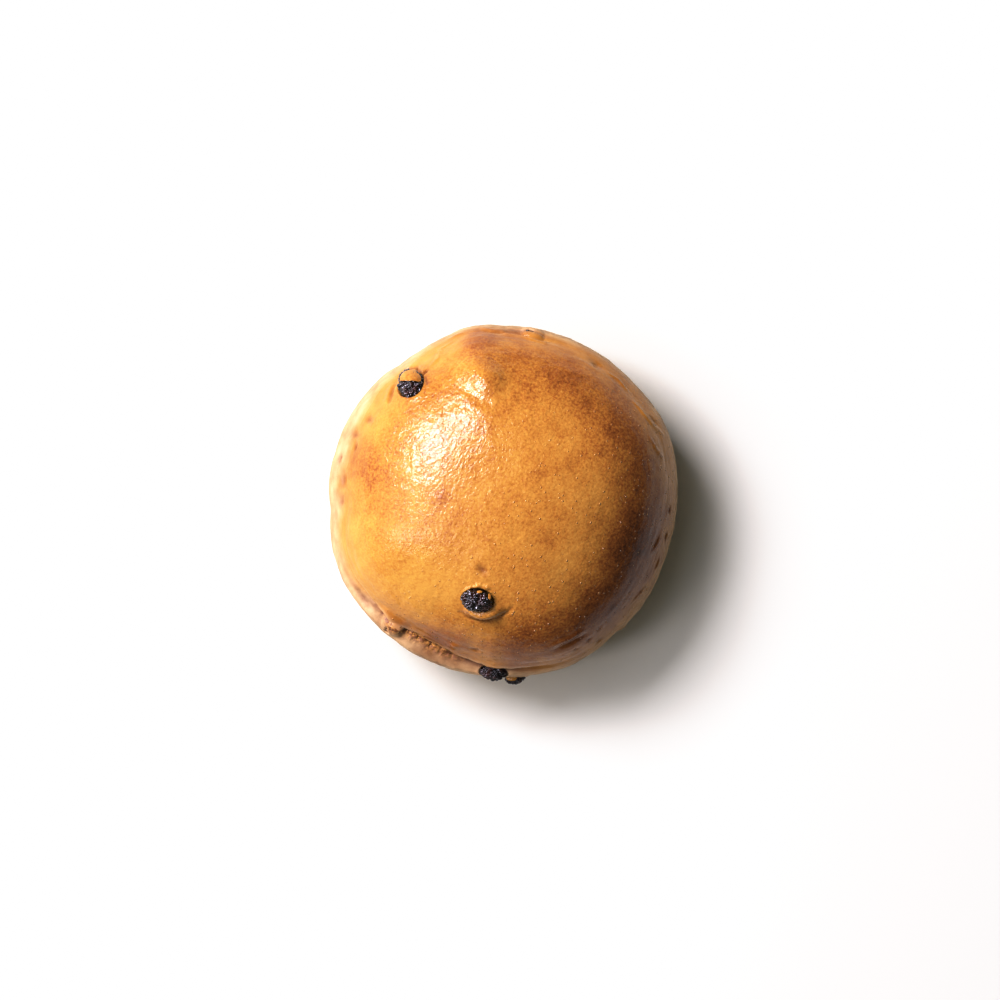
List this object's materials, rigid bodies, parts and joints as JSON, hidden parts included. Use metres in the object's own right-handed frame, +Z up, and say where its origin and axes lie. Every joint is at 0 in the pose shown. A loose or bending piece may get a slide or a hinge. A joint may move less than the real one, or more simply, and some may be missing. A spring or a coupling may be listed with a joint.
{
  "type": "raisin bread roll",
  "caption": "Round egg-washed raisin bread roll: a glossy domed crown over a paler skirt, split open at the front left, with raisins caught in the crust and a flat base.",
  "frame": {"origin": "on the table, under the middle of the roll's plan", "axes": "+Z up through the crown; +Y towards the back; the open split faces -Y and -X"},
  "size_m": [0.0942, 0.0978, 0.048],
  "materials": {
    "crust": "satin",
    "raisin": "satin"
  },
  "bodies": {
    "root": {"roll": "crust", "raisin_crown": "raisin", "raisin_shoulder": "raisin", "raisin_split_front": "raisin", "raisin_split_edge": "raisin", "raisin_in_split": "raisin", "raisin_back": "raisin", "raisin_side": "raisin", "raisin_underside": "raisin"}
  },
  "joints": []
}
